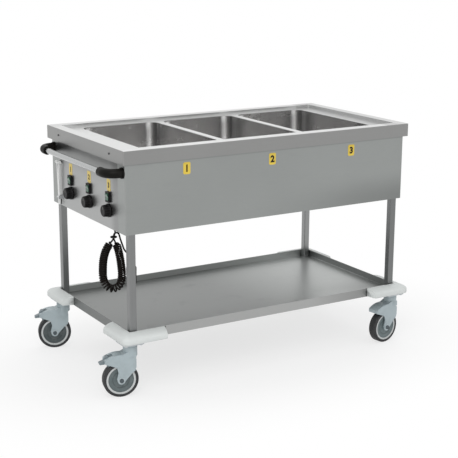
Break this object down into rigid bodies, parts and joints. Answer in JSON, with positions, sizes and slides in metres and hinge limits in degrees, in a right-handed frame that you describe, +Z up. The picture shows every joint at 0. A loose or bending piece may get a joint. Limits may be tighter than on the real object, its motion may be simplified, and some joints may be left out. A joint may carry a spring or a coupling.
{
  "type": "heated food trolley",
  "caption": "Heated food trolley with sunken water wells in a pressed steel top, knobs and rocker switches on its end, a tray shelf, corner bumpers, braked swivel casters and a curly cord.",
  "frame": {"origin": "on the floor, under the middle of the outline without the hanging cord", "axes": "+X along the trolley away from the control end, +Z up, the long front faces -Y"},
  "size_m": [1.2994, 0.69, 0.865],
  "materials": {
    "steel_top": "satin",
    "steel_well": "bright",
    "steel_body": "brushed",
    "steel_leg": "brushed",
    "steel_shelf": "brushed",
    "bright_tube": "polished",
    "zinc": "zinc plated",
    "wheel_centre": "matt",
    "tyre": "matt",
    "bumper": "matt",
    "black_plastic": "satin",
    "knob": "satin",
    "rocker": "lit",
    "yellow_plate": "printed",
    "ceramic": "matt",
    "heater": "matt",
    "brass": "satin",
    "lever": "painted",
    "screw": "satin",
    "cord": "matt",
    "brake": "satin"
  },
  "bodies": {
    "trolley": {"worktop": "steel_top", "well_1": "steel_well", "well_2": "steel_well", "well_3": "steel_well", "front_panel": "steel_body", "back_panel": "steel_body", "control_panel": "steel_body", "end_panel": "steel_body", "bottom_pan": "steel_body", "leg_front_left": "steel_leg", "leg_front_right": "steel_leg", "leg_back_left": "steel_leg", "leg_back_right": "steel_leg", "shelf": "steel_shelf", "bumper_front_left": "bumper", "bumper_front_right": "bumper", "bumper_back_left": "bumper", "bumper_back_right": "bumper", "handle_tube": "bright_tube", "handle_bracket_front": "black_plastic", "handle_bracket_back": "black_plastic", "heaters": "heater", "thermostats": "ceramic", "terminal_block": "ceramic", "switch_housings": "black_plastic", "number_plates": "yellow_plate", "drain_manifold": "steel_shelf", "drain_valve": "brass", "lever_bracket": "black_plastic", "cable_gland": "black_plastic", "skirt_screws": "screw", "caster_plates": "zinc", "cord_lead": "cord", "cord_coil": "cord", "cord_tail": "cord", "plug": "cord", "cord_tie": "cord"},
    "knob_1": {"knob_1": "knob"},
    "knob_2": {"knob_2": "knob"},
    "knob_3": {"knob_3": "knob"},
    "rocker_1": {"rocker_1": "rocker"},
    "rocker_2": {"rocker_2": "rocker"},
    "rocker_3": {"rocker_3": "rocker"},
    "drain_lever": {"drain_lever": "lever", "lever_grip": "black_plastic"},
    "fork_front_left": {"fork_front_left": "zinc"},
    "wheel_front_left": {"wheel_front_left": "wheel_centre", "tyre_front_left": "tyre"},
    "brake_front_left": {"brake_front_left": "brake"},
    "fork_front_right": {"fork_front_right": "zinc"},
    "wheel_front_right": {"wheel_front_right": "wheel_centre", "tyre_front_right": "tyre"},
    "fork_back_left": {"fork_back_left": "zinc"},
    "wheel_back_left": {"wheel_back_left": "wheel_centre", "tyre_back_left": "tyre"},
    "brake_back_left": {"brake_back_left": "brake"},
    "fork_back_right": {"fork_back_right": "zinc"},
    "wheel_back_right": {"wheel_back_right": "wheel_centre", "tyre_back_right": "tyre"}
  },
  "joints": [
    {"name": "knob_1_turn", "type": "hinge", "parent": "trolley", "child": "knob_1", "pos_m": [-0.55731, 0.138, 0.638], "axis": [1, 0, 0], "range_deg": [0, 270]},
    {"name": "knob_2_turn", "type": "hinge", "parent": "trolley", "child": "knob_2", "pos_m": [-0.55731, -0.021, 0.638], "axis": [1, 0, 0], "range_deg": [0, 270]},
    {"name": "knob_3_turn", "type": "hinge", "parent": "trolley", "child": "knob_3", "pos_m": [-0.55731, -0.18, 0.638], "axis": [1, 0, 0], "range_deg": [0, 270]},
    {"name": "rocker_1_tilt", "type": "hinge", "parent": "trolley", "child": "rocker_1", "pos_m": [-0.56081, 0.138, 0.685], "axis": [0, 1, 0], "range_deg": [0, 14]},
    {"name": "rocker_2_tilt", "type": "hinge", "parent": "trolley", "child": "rocker_2", "pos_m": [-0.56081, -0.021, 0.685], "axis": [0, 1, 0], "range_deg": [0, 14]},
    {"name": "rocker_3_tilt", "type": "hinge", "parent": "trolley", "child": "rocker_3", "pos_m": [-0.56081, -0.18, 0.685], "axis": [0, 1, 0], "range_deg": [0, 14]},
    {"name": "drain_lever_swing", "type": "hinge", "parent": "trolley", "child": "drain_lever", "pos_m": [-0.56681, 0.231, 0.606], "axis": [0, -1, 0], "range_deg": [0, 70]},
    {"name": "caster_front_left_swivel", "type": "hinge", "parent": "trolley", "child": "fork_front_left", "pos_m": [-0.53981, -0.288, 0.16], "axis": [0, 0, 1], "continuous": true},
    {"name": "wheel_front_left_roll", "type": "hinge", "parent": "fork_front_left", "child": "wheel_front_left", "pos_m": [-0.57474, -0.27929, 0.0625], "axis": [0.2419, 0.9703, 0], "continuous": true},
    {"name": "brake_front_left_press", "type": "hinge", "parent": "fork_front_left", "child": "brake_front_left", "pos_m": [-0.62131, -0.26768, 0.132], "axis": [-0.2419, -0.9703, 0], "range_deg": [0, 12]},
    {"name": "caster_front_right_swivel", "type": "hinge", "parent": "trolley", "child": "fork_front_right", "pos_m": [0.60019, -0.288, 0.16], "axis": [0, 0, 1], "continuous": true},
    {"name": "wheel_front_right_roll", "type": "hinge", "parent": "fork_front_right", "child": "wheel_front_right", "pos_m": [0.56454, -0.29301, 0.0625], "axis": [-0.1392, 0.9903, 0], "continuous": true},
    {"name": "caster_back_left_swivel", "type": "hinge", "parent": "trolley", "child": "fork_back_left", "pos_m": [-0.53981, 0.288, 0.16], "axis": [0, 0, 1], "continuous": true},
    {"name": "wheel_back_left_roll", "type": "hinge", "parent": "fork_back_left", "child": "wheel_back_left", "pos_m": [-0.57385, 0.29972, 0.0625], "axis": [0.3256, 0.9455, 0], "continuous": true},
    {"name": "brake_back_left_press", "type": "hinge", "parent": "fork_back_left", "child": "brake_back_left", "pos_m": [-0.61923, 0.31535, 0.132], "axis": [-0.3256, -0.9455, 0], "range_deg": [0, 12]},
    {"name": "caster_back_right_swivel", "type": "hinge", "parent": "trolley", "child": "fork_back_right", "pos_m": [0.60019, 0.288, 0.16], "axis": [0, 0, 1], "continuous": true},
    {"name": "wheel_back_right_roll", "type": "hinge", "parent": "fork_back_right", "child": "wheel_back_right", "pos_m": [0.56419, 0.288, 0.0625], "axis": [0, 1, 0], "continuous": true}
  ]
}
